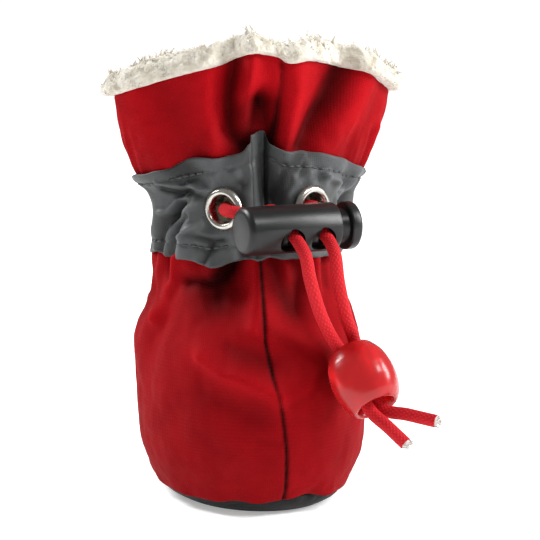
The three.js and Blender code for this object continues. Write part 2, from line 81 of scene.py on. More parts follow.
mainFolds = [  # angle, level, half width in degrees, half height in levels, lean in degrees a level, out, rise
    (-1, 10, 6, 3, 0, -1.8, 0.9), (-9, 13.2, 6, 2.4, 0, 1.1, 0.7), (-18, 12.9, 5, 2.4, 1, -1, 0),
    (10, 13.2, 8, 2.5, 0, 0.8, -0.6), (27, 12.8, 9, 2.4, 2.5, -1.5, 0), (-64, 8.4, 8, 2.2, 7, -2, 0),
    (-50, 8.4, 7, 1.8, 7, 1, 0), (-98, 5.6, 22, 1.6, 0, 1.2, 0), (-70, 5.6, 7, 1.7, 5, -1.2, 0),
    (-38, 6.7, 8, 1.4, 3, 0.7, -0.5), (-21, 6.5, 8, 1.1, 2, -1.2, 0), (-8, 6.2, 5, 1.3, 0, 0.8, 0),
    (13, 6.5, 8, 1.4, 0, -0.9, 0), (-20, 4.3, 17, 0.6, -14, 0.8, 0), (40, 4.6, 14, 0.8, 8, 0.5, 0),
    (64, 9, 7, 2, -5, -1.6, 0), (84, 8.6, 8, 2, -3, 0.8, 0), (78, 5.8, 8, 1.6, -4, -0.7, 0),
    (106, 9, 8, 2.4, 3, -1.7, 0), (134, 8.8, 8, 2.8, -2, -1.5, 0), (160, 9.2, 7, 2.4, 2, -1.8, 0),
    (184, 9, 7, 3.2, 0, -1.7, 0.5), (208, 8.8, 8, 2.5, -2, -1.8, 0), (233, 9.1, 8, 2.7, 2, -1.6, 0),
    (257, 8.9, 8, 2.2, -3, -1.5, 0),
]


def bend(here, following, slopeHere, slopeNext, t):  # a smooth way from one value to the next
    return (
        here * (1 - t) ** 2 * (1 + 2 * t) + slopeHere * t * (1 - t) ** 2
        + following * t ** 2 * (3 - 2 * t) - slopeNext * t ** 2 * (1 - t)
    )


@functools.cache
def columnAt(column, level):
    low = min(max(math.floor(level), 0), collarLevel - 1)
    before, here, following, after = [
        sections[min(max(index, 0), collarLevel)][column] for index in range(low - 1, low + 3)
    ]
    return bend(here, following, (following - before) / 2, (after - here) / 2, level - low)


@functools.cache
def foldsNear(level):
    return [one for one in mainFolds if abs(level - one[1]) <= 3 * one[3]]


def foldAt(angle, level):
    out = rise = 0
    for middle, middleLevel, wide, tall, lean, depth, lifted in foldsNear(level):
        above = level - middleLevel
        aside = math.degrees(angle) - middle - lean * above
        aside -= 360 * round(aside / 360)
        if abs(aside) > 3 * wide:
            continue
        share = exp(-((aside / wide) ** 2) - (above / tall) ** 2)
        out += depth * share
        rise += lifted * share
    return out * shoe["clothWall"], rise * shoe["clothWall"]


def smoothWall(angle, level):
    along = cos(angle)
    reach = columnAt("front" if along > 0 else "back", level)
    sideShare = abs(sin(angle)) ** 1.5
    backShare = max(-along, 0) * (level / collarLevel) ** 2
    height = columnAt("height", level) - columnAt("droop", level) * sideShare - shoe["backDroop"] * backShare
    y = -math.copysign(abs(along) ** columnAt("pinch", level), along) * reach
    return columnAt("side", level) * sin(angle), y, edgeHeight + lift * height


def wallNormal(angle, level):
    ahead = smoothWall(angle + 0.02, level)
    behind = smoothWall(angle - 0.02, level)
    x, y = ahead[1] - behind[1], behind[0] - ahead[0]
    length = hypot(x, y)
    return x / length, y / length


def wallPoint(angle, level, outwards):
    out, rise = foldAt(angle, level)
    x, y, z = smoothWall(angle, level)
    nx, ny = wallNormal(angle, level)
    return x + nx * (out + outwards), y + ny * (out + outwards), z + rise


# Camera and lights

view = {
    "azimuth": -15.5, "elevation": 8, "distance": 430, "aim": (0, 0, 46), "across": 4, "down": 2.5,
    "lens": 146.9,
}


def laid(name, data):  # an object in the scene
    made = bpy.data.objects.new(name, data)
    bpy.context.scene.collection.objects.link(made)
    return made


def makeCamera():
    azimuth, elevation = radians(view["azimuth"]), radians(view["elevation"])
    right = Vector((cos(azimuth), sin(azimuth), 0))
    level = cos(elevation)
    back = Vector((sin(azimuth) * level, -cos(azimuth) * level, sin(elevation)))
    upwards = back.cross(right)
    aim = Vector(view["aim"]) + right * view["across"] - upwards * view["down"]
    camera = laid("camera", bpy.data.cameras.new("camera"))
    camera.data.lens = view["lens"]
    camera.data.clip_start = 0.01
    turn = Matrix((right, upwards, back)).transposed().to_4x4()
    camera.matrix_world = Matrix.Translation((aim + back * view["distance"]) * mm) @ turn
    bpy.context.scene.camera = camera


softboxes = {  # place and size in metres, power in watts
    "leftBox": ((-0.68, 0.5, 0.8), (0.3, 0.5), 14), "rightBox": ((0.85, -0.3, 0.55), (0.3, 0.6), 12.5),
    "topBox": ((0.35, -0.6, 0.8), (0.2, 0.2), 3.5),
}
studio = {"middle": (0, 0, 0.045), "surroundings": 0.26}


def makeLights():
    for name, (place, size, power) in softboxes.items():
        light = bpy.data.lights.new(name, "AREA")
        light.shape, light.energy = "RECTANGLE", power
        light.size, light.size_y = size
        lamp = laid(name, light)
        lamp.location = place
        lamp.rotation_euler = (Vector(studio["middle"]) - Vector(place)).to_track_quat("-Z", "Y").to_euler()
    world = bpy.data.worlds.new("studio")
    world.use_nodes = True
    world.node_tree.nodes["Background"].inputs["Color"].default_value = (1, 1, 1, 1)
    world.node_tree.nodes["Background"].inputs["Strength"].default_value = studio["surroundings"]
    bpy.context.scene.world = world
    bpy.context.scene.view_settings.view_transform = "Standard"


makeCamera()
makeLights()
print("camera and lights made")

# Materials

def linear(hexColour):
    channels = [int(hexColour[i:i + 2], 16) / 255 for i in (1, 3, 5)]
    return tuple(c / 12.92 if c <= 0.04045 else ((c + 0.055) / 1.055) ** 2.4 for c in channels) + (1,)


def plug(tree, node, sockets):  # gives a node's sockets their values and links
    inUse = {one.name: one for one in node.inputs if one.enabled}
    for name, value in sockets.items():
        socket = node.inputs[name] if isinstance(name, int) else inUse[name]
        if isinstance(value, bpy.types.NodeSocket):
            tree.links.new(value, socket)
        else:
            socket.default_value = value


def addNode(tree, kind, sockets=None, out=None, stops=(), **settings):  # one node, and its output comes back
    made = tree.nodes.new("ShaderNode" + kind)
    for setting, value in settings.items():
        setattr(made, setting, value)
    plug(tree, made, sockets or {})
    if stops:
        elements = made.color_ramp.elements
        for element, (position, colour) in zip(elements, (stops[0], stops[-1])):
            element.position, element.color = position, linear(colour)
        for position, colour in stops[1:-1]:
            elements.new(position).color = linear(colour)
    return made.outputs[out] if out else next(one for one in made.outputs if one.enabled)


def newMaterial(name):
    material = bpy.data.materials.new(name)
    material.use_nodes = True
    return material, material.node_tree


def surfaced(material, **surface):  # the numbers, colours and patterns that the shader gets
    tree = material.node_tree
    named = {name.replace("_", " "): value for name, value in surface.items()}
    plug(tree, tree.nodes["Principled BSDF"], named)
    return material


bandSpacing = 0.314  # between the bands of a wave texture of scale 1


def threads(tree, spacing, turn=0.0):  # over and under threads on the cloth's UV map, which is in millimetres
    place = addNode(tree, "TexCoord", out="UV")
    turned = addNode(tree, "Mapping", {"Vector": place, "Rotation": (0, 0, turn)})
    wave = {"Vector": turned, "Scale": bandSpacing / spacing}
    across = addNode(tree, "TexWave", wave, "Fac", bands_direction="X")
    along = addNode(tree, "TexWave", wave, "Fac", bands_direction="Y")
    return addNode(tree, "Math", {0: across, 1: along}, operation="MULTIPLY")


def grain(tree, size, detail=3.0):  # cloudy grain of a size in millimetres
    place = addNode(tree, "TexCoord", out="Object")
    return addNode(tree, "TexNoise", {"Vector": place, "Scale": 1000 / size, "Detail": detail}, "Fac")


def cloudyColour(tree, size, detail, stops):  # the material's own slight unevenness
    return addNode(tree, "ValToRGB", {"Fac": grain(tree, size, detail)}, stops=stops)


def shadedBy(tree, colour, ridge, flat, valley):  # painted highlight on ridges, painted shade in valleys
    shade = addNode(tree, "Attribute", out="Fac", attribute_name="shade")
    share = addNode(tree, "MapRange", {"Value": shade, "From Min": -1})
    tone = addNode(tree, "ValToRGB", {"Fac": share}, stops=[(0, ridge), (0.5, flat), (1, valley)])
    mixed = {"Factor": 1, "A": colour, "B": tone}
    return addNode(tree, "Mix", mixed, data_type="RGBA", blend_type="MULTIPLY")


def uneven(tree, strength, depth, size, detail=3.0, **under):  # small soft dents, depth and size in millimetres
    height = grain(tree, size, detail)
    return addNode(tree, "Bump", {"Strength": strength, "Distance": depth * mm, "Height": height, **under})


# Colour is (grain in millimetres, detail, stops), worn is (least and most roughness, grain, detail), and dents
# is (strength, depth in millimetres, grain, detail).
def plainMaterial(name, colour, worn=None, dents=None, **surface):
    material, tree = newMaterial(name)
    surface["Base_Color"] = cloudyColour(tree, *colour)
    if worn:
        least, most, size, detail = worn
        gloss = {"Value": grain(tree, size, detail), "To Min": least, "To Max": most}
        surface["Roughness"] = addNode(tree, "MapRange", gloss)
    if dents:
        surface["Normal"] = uneven(tree, *dents)
    return surfaced(material, **surface)


# Woven polyester: matt and evenly woven, with painted shade in its folds and painted highlight on its ridges.
# Its real threads, 0.2 mm apart, are too fine to show, so they are drawn 0.5 mm apart.
def makeRedCloth():
    material, tree = newMaterial("wovenRedPolyester")
    weave = threads(tree, 0.5)
    colour = cloudyColour(tree, 9, 3, [(0.3, "#9c050f"), (0.7, "#ad0813")])
    # painted shade in the folds and painted highlight on the ridges, multiplied into the cloth's colour
    folded = shadedBy(tree, colour, "#ffffff", "#d2d2d2", "#3c2c2c")
    soft = addNode(tree, "Math", {0: weave, 1: 0.12}, operation="MULTIPLY")
    woven = addNode(tree, "Mix", {"Factor": soft, "A": folded, "B": linear("#a80f1a")}, data_type="RGBA")
    bump = addNode(tree, "Bump", {"Strength": 0.35, "Distance": 0.00012, "Height": weave})
    return surfaced(
        material, Base_Color=woven, Normal=uneven(tree, 0.4, 0.3, 2.2, Normal=bump), Roughness=0.75,
        Sheen_Weight=0.05, Sheen_Roughness=0.4, Sheen_Tint=linear("#e01020"), Specular_IOR_Level=0.06,
    )


# Woven reflective tape: grey satin cloth with a fine even grain, its threads drawn 0.42 mm apart to show
def makeGreyTape():
    material, tree = newMaterial("greyReflectiveTape")
    colour = cloudyColour(tree, 6, 3, [(0.3, "#515455"), (0.7, "#626566")])
    bump = addNode(tree, "Bump", {"Strength": 0.3, "Distance": 0.0001, "Height": threads(tree, 0.42)})
    # the colour gets painted highlight on ridges and painted shade in folds
    return surfaced(
        material, Base_Color=shadedBy(tree, colour, "#ffffff", "#c4c4c4", "#343434"), Roughness=0.56,
        Sheen_Weight=0.1, Sheen_Roughness=0.4, Specular_IOR_Level=0.4,
        Normal=uneven(tree, 0.35, 0.3, 1.6, Normal=bump),
    )


# Moulded rubber: nearly black and matt, with a pattern of small round studs underneath, 3.2 mm apart
def makeRubber():
    material, tree = newMaterial("mouldedBlackRubber")
    place = {"Vector": addNode(tree, "TexCoord", out="Object"), "Scale": 1000 / 3.2, "Randomness": 0.0}
    studs = addNode(tree, "TexVoronoi", place, "Distance", feature="F1")
    domes = addNode(tree, "ValToRGB", {"Fac": studs}, stops=[(0.15, "#ffffff"), (0.42, "#000000")])
    bump = addNode(tree, "Bump", {"Strength": 0.6, "Distance": 0.0005, "Height": domes})
    return surfaced(
        material, Base_Color=cloudyColour(tree, 3, 3, [(0.3, "#0d0d0d"), (0.7, "#181818")]), Roughness=0.7,
        Specular_IOR_Level=0.3, Normal=uneven(tree, 0.3, 0.1, 0.5, Normal=bump),
    )


# Braided elastic cord: two sets of slanting yarns round a rubber core, drawn 0.5 mm wide to show
def makeRedCord():
    material, tree = newMaterial("braidedRedCord")
    yarns = threads(tree, 0.5, radians(45))
    tones = [(0.0, "#b4141d"), (0.5, "#c41c25"), (1.0, "#cc222b")]
    return surfaced(
        material, Base_Color=addNode(tree, "ValToRGB", {"Fac": yarns}, stops=tones), Roughness=0.7,
        Normal=addNode(tree, "Bump", {"Strength": 0.55, "Distance": 0.00018, "Height": yarns}),
        Sheen_Weight=0.15, Sheen_Roughness=0.4, Sheen_Tint=linear("#ff5058"), Specular_IOR_Level=0.2,
    )


redCloth, greyTape, rubber, redCord = makeRedCloth(), makeGreyTape(), makeRubber(), makeRedCord()
fleece = plainMaterial(  # sherpa fleece: cream wool with no gloss, darker between its locks
    "creamSherpaFleece", (2.2, 5, [(0.32, "#b5ab98"), (0.5, "#cac3b3"), (0.72, "#d8d2c5")]),
    dents=(0.8, 0.8, 1.1, 6), Roughness=0.95, Sheen_Weight=0.6, Sheen_Roughness=0.6, Subsurface_Weight=0.25,
    Subsurface_Radius=(0.002, 0.0018, 0.0015), Subsurface_Scale=0.5,
)
nickel = plainMaterial(  # nickel plate on brass: bright and smooth with faint brushing
    "polishedNickel", (2, 3, [(0.3, "#aeaaa1"), (0.7, "#cbc9c3")]), worn=(0.2, 0.34, 1.5, 6), Metallic=1.0,
)
blackPlastic = plainMaterial(  # injection-moulded acetal: satin black with a very fine spark-eroded texture
    "mouldedBlackAcetal", (5, 3, [(0.3, "#0f1010"), (0.7, "#171818")]), worn=(0.3, 0.42, 1.2, 5),
    dents=(0.25, 0.06, 0.3, 4), Specular_IOR_Level=0.36,
)
springSteel = plainMaterial(  # drawn spring wire: bright, with sharp small highlights
    "brightSpringWire", (1, 3, [(0.3, "#bfc1c3"), (0.7, "#e3e4e5")]), Metallic=1.0, Roughness=0.22,
)
cordCore = plainMaterial(  # cut rubber threads and loose yarn ends: pale, dull and rough
    "cutCordEnds", (0.6, 3, [(0.3, "#a9a19c"), (0.7, "#d9d5cf")]), Roughness=0.85,
)
redPlastic = plainMaterial(  # red polystyrene, a little see-through, polished in the mould
    "clearRedPolystyrene", (8, 3, [(0.3, "#d81c20"), (0.7, "#e63034")]), dents=(0.15, 0.2, 4), Roughness=0.26,
    IOR=1.45, Transmission_Weight=0.6, Subsurface_Weight=0.2, Subsurface_Radius=(0.006, 0.0012, 0.001),
    Subsurface_Scale=0.6,
)
thread = plainMaterial(  # spun polyester sewing thread: dull grey, a little darker than the tape
    "greySewingThread", (1, 3, [(0.3, "#3a3b3b"), (0.7, "#4d4e4e")]), Roughness=0.8,
)
print("materials made")

# Making pieces

def pieceFrom(name, shape, *materials, sharp=None):  # a bmesh becomes an object of its own
    mesh = bpy.data.meshes.new(name)
    shape.to_mesh(mesh)
    shape.free()
    mesh.shade_smooth()
    if sharp:
        mesh.set_sharp_from_angle(angle=radians(sharp))
    for material in materials:
        mesh.materials.append(material)
    return laid(name, mesh)


def placedAt(spot, turn):
    return Matrix.Translation(spot) @ turn.to_matrix().to_4x4()


def between(rows, along):  # a row of numbers part of the way down a list of rows
    at = along * (len(rows) - 1)
    here = min(int(at), len(rows) - 2)
    return [a + (b - a) * (at - here) for a, b in zip(rows[here], rows[here + 1])]


def bentGrid(columns, rows, place, uvSize, shade=None):  # a grid bent into a closed form, with its UV map in mm
    shape = bmesh.new()
    uvLayer = shape.loops.layers.uv.new("UVMap")
    shadeLayer = shape.verts.layers.float.new("shade")
    bmesh.ops.create_grid(shape, x_segments=columns, y_segments=rows, size=0.5, calc_uvs=True)
    for face in shape.faces:
        for loop in face.loops:
            loop[uvLayer].uv = (loop.vert.co.x + 0.5) * uvSize[0], (loop.vert.co.y + 0.5) * uvSize[1]
    for vertex in shape.verts:
        turn, along = vertex.co.x + 0.5, vertex.co.y + 0.5
        if shade:
            vertex[shadeLayer] = shade(turn, along)
        vertex.co = Vector(place(turn, along)) * mm
    bmesh.ops.remove_doubles(shape, verts=shape.verts, dist=1e-7)
    bmesh.ops.recalc_face_normals(shape, faces=shape.faces)
    return shape


crowding = 0.28


def angleAt(turn):  # the grid's seam is at the back, and its columns crowd at the front
    around = 2 * pi * (turn % 1 - 0.5)
    return around - crowding * sin(around)


def spun(profile, steps=64):  # a profile of (radius, along Y) points turned once round the Y axis
    shape = bmesh.new()
    ring = [shape.verts.new((radius * mm, along * mm, 0)) for radius, along in profile]
    edges = [shape.edges.new((ring[i - 1], ring[i])) for i in range(0 if profile[0][0] else 1, len(ring))]
    once = {"cent": (0, 0, 0), "axis": (0, 1, 0), "angle": 2 * pi, "use_merge": True}
    bmesh.ops.spin(shape, geom=ring + edges, steps=steps, **once)
    bmesh.ops.remove_doubles(shape, verts=shape.verts, dist=1e-6)
    bmesh.ops.recalc_face_normals(shape, faces=shape.faces)
    return shape


def meshOf(piece):  # the piece's mesh with its modifiers or its curve's thickness
    return bpy.data.meshes.new_from_object(piece.evaluated_get(bpy.context.evaluated_depsgraph_get()))


# Creases, as soft strokes on the cloth. Each has its points as (angle in degrees, level), then its half width
# and how far it pushes the cloth out, in millimetres.
strokeReach = 2.4  # a stroke fades out at so many times its half width


def spread(angle, level):  # a place on the cloth as if it lay flat
    return radians(angle) * roundness(level), columnAt("height", level) * lift


def part(start, end):
    (x0, y0), (x1, y1) = spread(*start), spread(*end)
    return x0, y0, x1 - x0, y1 - y0, (x1 - x0) ** 2 + (y1 - y0) ** 2 or 1e-9


def run(points, wide, out):  # one crease through several points
    parts = [part(a, b) for a, b in zip(points, points[1:])]
    heights = [columnAt("height", level) * lift for _, level in points]
    low, high = min(heights) - strokeReach * wide, max(heights) + strokeReach * wide
    return {"parts": parts, "low": low, "high": high, "wide": wide, "out": out}


@functools.cache
def roundness(level):
    return (columnAt("side", level) + columnAt("front", level)) / 2


creases = {}  # each cloth's strokes, by name


@functools.cache
def strokesNear(name, y):
    return [one for one in creases[name] if one["low"] < y < one["high"]]


def strokesAt(name, angle, level):  # how far the strokes push the cloth out, in millimetres
    y, out = columnAt("height", level) * lift, 0
    for x in (angle * roundness(level), (angle + 2 * pi) * roundness(level)):
        for one in strokesNear(name, y):
            away = strokeReach
            for x0, y0, dx, dy, square in one["parts"]:
                share = min(max(((x - x0) * dx + (y - y0) * dy) / square, 0), 1)
                away = min(away, hypot(x - x0 - share * dx, y - y0 - share * dy) / one["wide"])
            if away < strokeReach:
                out += one["out"] * exp(-(away ** (2 if one["out"] > 0 else 1.6)))  # valleys are sharper
    return out


seamLine = [
    (4, 14.3), (4, 12), (3, 11), (-7, 7), (-8, 5.7), (-9, 4.75), (-7, 3.9), (-3, 3.1), (-1, 2.3), (0, 0.95),
    (0, 0),
]
creases["cloth"] = [run(*row) for row in (
    ([(-13.5, 14.2), (-17, 12.9), (-17.5, 11.9), (-13, 11.1)], 1.5, -2.2),
    ([(-25, 14), (-26, 12.5), (-25, 11.3)], 2.2, 0.9), ([(-9, 14.1), (-10.5, 12.8)], 1.5, 0.9),
    ([(-5, 12.5), (-9, 11.1)], 1.5, -1.7), ([(-2, 12.5), (2, 11.2)], 1.5, -1.7),
    ([(0, 14.1), (0, 13.1)], 1.6, 0.8), ([(10, 14), (10, 12.8), (8, 11.6)], 1.7, 0.9),
    ([(36, 14.3), (31, 12.8), (19, 11.2)], 2.4, -2.4), ([(47, 14), (42, 12.4), (30, 11.2)], 2.6, 0.9),
    ([(-46, 13.6), (-38, 11.5)], 3.2, -0.5), ([(-64, 13.8), (-56, 11.6)], 2.6, 0.4),
    ([(62, 13.9), (54, 11.6)], 2.6, -0.4), ([(-21, 7.2), (-27, 6.75), (-40, 6.35), (-56, 6.2)], 1.3, -1.9),
    ([(-27, 7), (-31, 6.3), (-36, 5.9)], 2.9, -2.3), ([(-11.5, 7.2), (-12, 6.1), (-15, 5.1)], 1.3, 1.2),
    ([(-66, 7.1), (-69, 6.2), (-71.5, 5.6), (-78, 5.1)], 1.4, 1.6), ([(-80, 5), (-96, 4.3)], 3.6, 0.5),
    ([(-73.5, 7.1), (-75, 6.3)], 0.9, -1), ([(-104, 7.1), (-104, 6.8)], 3, 0.9),
    ([(-106, 6), (-104, 5.4)], 4.5, -1.4),
    ([(-41, 4.35), (-30, 4), (-21, 3.86), (-11, 3.65), (-4, 3.45)], 1.8, 1.5),
    ([(-27, 4.6), (-15, 4.4), (-8, 4.25)], 1.8, -1), ([(-42, 3.5), (-27, 3.2), (-14, 3)], 2.8, -0.7),
    ([(3, 7), (4, 6.2), (8, 5.6)], 2.2, -1.5), ([(20, 7), (19, 6.2), (14, 5.4)], 1.9, -1.3),
    ([(11, 7.1), (12, 6.3)], 1.1, 0.5), ([(30, 7.1), (30, 6)], 1.3, 0.7), ([(40, 7.1), (38, 6.1)], 1.2, -0.9),
    ([(56, 7.1), (52, 5.8)], 1.5, -0.8), ([(-5, 4.9), (14, 4.7), (34, 4.9)], 2, 0.5),
    ([(2, 4.1), (24, 3.9), (44, 4.2)], 2.8, -0.4), ([(-62, 3), (-35, 2.2)], 3.6, -0.3),
    ([(60, 3.6), (35, 2.4)], 4, -0.35), ([(-14, 2.5), (-4, 2.45)], 0.7, -0.35),
    ([(3, 3.3), (12, 3.5)], 0.7, -0.3),
)]


def gathers(seed, count, start, end, wide, depth):  # the drawn-in cloth round the sides and back
    chance = random.Random(seed)
    strokes = []
    for index in range(count):
        angle = 78 + 186 * (index + chance.uniform(-0.3, 0.3)) / count
        lean, reach = chance.uniform(-8, 8), chance.uniform(0.6, 1.25)
        ends = [(angle, start), (angle + lean, start + (end - start) * reach)]
        strokes.append(run(ends, wide * chance.uniform(0.8, 1.3), -depth * chance.uniform(0.6, 1.3)))
        strokes.append(run([(angle + 6, start), (angle + lean + 6, end)], 1.1 * wide, 0.5 * depth))
    return strokes


creases["cloth"] += gathers(3, 14, 7.1, 5.5, 1.2, 1.1) + gathers(4, 14, 10.9, 12.6, 1.3, 1.0)
print("creases laid out")

# The cloth upper, one closed shell: outside, rim and fleece lining

clothSizes = {  # millimetres, shares of the way up the cloth, and the lowest level inside
    "around": 140, "high": 117, "outside": 0.72, "rim": 0.76, "lining": 0.775, "insideFoot": 0.42,
    "cuffShift": 0.9, "underTape": 0.9, "underStrip": 1.6,
}


def smooth(low, high, value):
    share = min(max((value - low) / (high - low), 0), 1)
    return share * share * (3 - 2 * share)


def hump(value, middle, wide):
    return exp(-(((value - middle) / wide) ** 2))


def softNoise(place, size, seed=0):
    return noise.noise(Vector(place) / size + Vector((seed, 3 * seed, 7)))


def hemDrop(angle):  # the hem hangs below the upper's solid in waves, and rises at the toe
    waves = 0.3 * sin(5 * angle + 0.7) + 0.2 * sin(9 * angle + 2.1) + 0.12 * sin(17 * angle)
    return 0.65 + waves - 1.2 * hump(angle, 0.16, 0.3) + 0.35 * hump(angle, -0.42, 0.25)


def arch(angle, level):  # the collar runs flatter at its middle than the solid's, with a small step at the seam
    across, flat = abs(sin(angle)), 3.0 if angle > 0 else 2.0
    rise = columnAt("droop", level) * lift * (across ** 1.5 - across ** flat) * smooth(9.8, 11.5, level)
    front = max(cos(angle), 0)
    step = (0.5 - 0.55 * math.tanh(math.degrees(angle - 0.07) / 1.3)) * hump(angle, 0, 0.35) * front
    step += 1.1 * hump(angle, 0.22, 0.13)
    return rise + (1.1 * across ** 2 + step) * smooth(12, 14, level)


def faceAt(angle, level, outwards):
    x, y, z = wallPoint(angle, level, outwards)
    return x + clothSizes["cuffShift"] * smooth(11, 14, level), y, z + arch(angle, level)


def stripShare(angle):  # the sunk strip in the middle of the tape, where its two ends meet
    degrees = math.degrees(angle)
    return smooth(-9.8, -8.6, degrees) * smooth(1.2, 0.0, degrees)


@functools.lru_cache(maxsize=100000)
def clothOut(angle, level):
    out = strokesAt("cloth", angle, level)
    place = smoothWall(angle, level)
    out += 0.4 * softNoise(place, 6.2) + 0.16 * softNoise(place, 2.4, 4)
    around = angle * roundness(level)
    pulled = smooth(4.6, 7, level) * smooth(13.4, 11, level) * smooth(0.25, 0.8, abs(angle))
    folded = 1 - 2 * abs(noise.noise(Vector((around / 3.0, place[2] / 14, 5))))
    out += pulled * 0.55 * (folded - 0.5)
    if level < 1:
        out += (1 - level) * 0.35 * sin(11 * angle + 1.3) * sin(4 * angle)
    underTape = smooth(7.0, 7.3, level) * smooth(11.0, 10.7, level)
    drawnIn = clothSizes["underTape"] + clothSizes["underStrip"] * stripShare(angle)
    return out * (1 - underTape) - drawnIn * underTape


def seamShare(angle, level):  # 1 in the middle of the front seam, 0 beside it
    if abs(angle) > 0.6 or 7.1 < level < 10.9:
        return 0
    for (angle0, level0), (angle1, level1) in zip(seamLine, seamLine[1:]):
        if level1 <= level <= level0:
            middle = angle0 + (angle1 - angle0) * (level0 - level) / (level0 - level1)
            away = (angle - radians(middle)) * roundness(level)
            return hump(away, 0, 0.42)
    return 0


def clothFace(angle, level):
    height = columnAt("height", level) * lift
    pucker = seamShare(angle, level) * (0.7 + 0.3 * sin(2.6 * height))
    x, y, z = faceAt(angle, level, clothOut(angle, level) - 0.6 * pucker)
    return x, y, z - hemDrop(angle) * (1 - smooth(0, 0.8, level))


def clothPlace(turn, along):
    angle, outside, rim = angleAt(turn), clothSizes["outside"], clothSizes["rim"]
    if along <= outside:
        return clothFace(angle, collarLevel * along / outside)
    if along <= rim:
        share = (along - outside) / (rim - outside) * pi
        half = shoe["clothWall"] / 2
        x, y, z = faceAt(angle, collarLevel, clothOut(angle, collarLevel) - half + half * cos(share))
        return x, y, z + 0.8 * sin(share)
    share = (along - rim) / (1 - rim)
    if share > 0.999:
        return clothFace(angle, 0)
    level = max(collarLevel * (1 - share), clothSizes["insideFoot"])
    out = clothOut(angle, level)
    soft = min(out, out * (0.25 + 0.75 * smooth(11, 13.5, level)))
    return faceAt(angle, level, soft - shoe["clothWall"])


def clothShade(turn, along):  # painted light and shade: folds, the cuff and low down; the seam is darker
    if along > clothSizes["rim"]:
        return 0
    angle, level = angleAt(turn), collarLevel * min(along / clothSizes["outside"], 1)
    pushed = strokesAt("cloth", angle, level)
    # painted shade in valleys and painted highlight on ridges
    fold = -0.36 * pushed if pushed < 0 else -0.35 * pushed
    # painted light on the cuff outside its deep folds, and painted shade on the lowest part of the upper
    paintedCuffLightLowShade = 0.55 * smooth(11.2, 12.6, level) * smooth(0.5, -0.3, fold) - 0.12 * smooth(3.6, 1.5, level)
    return min(max(fold - paintedCuffLightLowShade, -1) + 1.1 * seamShare(angle, level), 1)


tapeFace = 1.2  # how far the tape's outside lies from the wall
eyeletSize = {"angle": 26, "level": 9, "yaw": 24, "hole": 2.8}  # the left one is turned further to the side


def eyeletAngle(side):
    return radians(side * eyeletSize["angle"])


def eyeletTurn(side):  # from the Y axis to the way that the eyelet faces
    outwards = Vector((*wallNormal(eyeletAngle(side), eyeletSize["level"]), 0))
    facing = Vector((0, 1, 0)).rotation_difference(outwards)
    return Quaternion((0, 0, 1), radians(-eyeletSize["yaw"])) @ facing if side < 0 else facing


def eyeletSpot(side):
    return Vector(wallPoint(eyeletAngle(side), eyeletSize["level"], tapeFace))


def punchHoles(shape):  # takes away the cloth inside both eyelets
    for side in (-1, 1):
        spot, back = eyeletSpot(side) * mm, eyeletTurn(side).inverted()
        inside = []
        for face in shape.faces:
            away = back @ (face.calc_center_median() - spot)
            if hypot(away.x, away.z) < eyeletSize["hole"] * mm and abs(away.y) < 6 * mm:
                inside.append(face)
        bmesh.ops.delete(shape, geom=inside, context="FACES")


def makeCloth():
    around, high = clothSizes["around"], clothSizes["high"]
    shape = bentGrid(340, 200, clothPlace, (around, high), clothShade)
    punchHoles(shape)
    uvLayer = shape.loops.layers.uv.active
    for face in shape.faces:
        lowest = min(loop[uvLayer].uv.y for loop in face.loops)
        face.material_index = 1 if lowest > clothSizes["lining"] * high else 0
    return pieceFrom("clothUpper", shape, redCloth, fleece)


upper = makeCloth()
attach(upper, "shoe")
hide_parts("upper")
print("cloth upper made")

# The grey tape round the neck, with its crumples, a sunk strip in the middle and a curled end

creases["tape"] = [run(*row) for row in (
    ([(-50, 11.1), (-42, 10.5)], 2.6, -1.1), ([(-30, 11), (-28, 10.4)], 2.2, 0.5),
    ([(-46, 10.2), (-40, 9.85), (-33, 9.7)], 0.7, 0.8), ([(-44, 9.8), (-36, 9.4)], 0.9, -0.7),
    ([(-50, 9.6), (-60, 9.5), (-68, 8.95), (-74, 8.9)], 0.6, 0.9), ([(-56, 9.2), (-70, 8.55)], 0.6, -1.5),
    ([(-43, 9.3), (-56, 8.9), (-66, 8.4), (-72, 7.9), (-76, 7.05)], 0.6, 1.3),
    ([(-50, 8.75), (-60, 8.3), (-66, 7.8)], 0.6, -1.2), ([(-40, 8.5), (-50, 8.15), (-58, 7.9)], 0.6, 0.8),
    ([(-74, 8.5), (-80, 7.7), (-82, 7.1)], 0.8, -1.3), ([(-44, 10.05), (-54, 10.1), (-66, 10.5)], 0.55, 0.8),
    ([(-66, 10.2), (-56, 9.8), (-48, 9.85)], 0.65, -1), ([(-58, 8.1), (-44, 7.95), (-28, 7.85)], 0.45, -0.5),
    ([(-34, 7.7), (-40, 7.05)], 0.7, -0.9), ([(-22, 8.4), (-20, 7.1)], 0.8, 0.7),
    ([(-16, 9.8), (-14, 8), (-15, 7.1)], 0.9, -0.9), ([(20, 11.1), (12, 10.2), (5, 9.1)], 1.7, -1.3),
    ([(12, 9.4), (23, 10.3)], 0.9, 0.6), ([(34, 10.35), (50, 10), (62, 9.7), (62, 9)], 0.8, 0.75),
    ([(66, 10.8), (67, 10.1), (60, 9.4)], 1, 0.7), ([(72, 9.6), (64, 8.6)], 1, -1.1),
    ([(48, 9.2), (58, 7.3)], 1.6, -0.6), ([(36, 8.2), (44, 7.1)], 1.4, 0.5),
)]
creases["tape"] += gathers(6, 14, 10.9, 7.1, 1.1, 0.9)
tapeSizes = {  # levels, shares of the way round its section, and millimetres
    "low": 7.0, "high": 11.0, "stitchLines": (10.5, 7.55), "stitches": 74, "stitchShare": 0.62,
    "thread": 0.17, "thickness": 0.9, "outside": 0.76, "top": 0.8, "inside": 0.96, "around": 115, "path": 29,
}


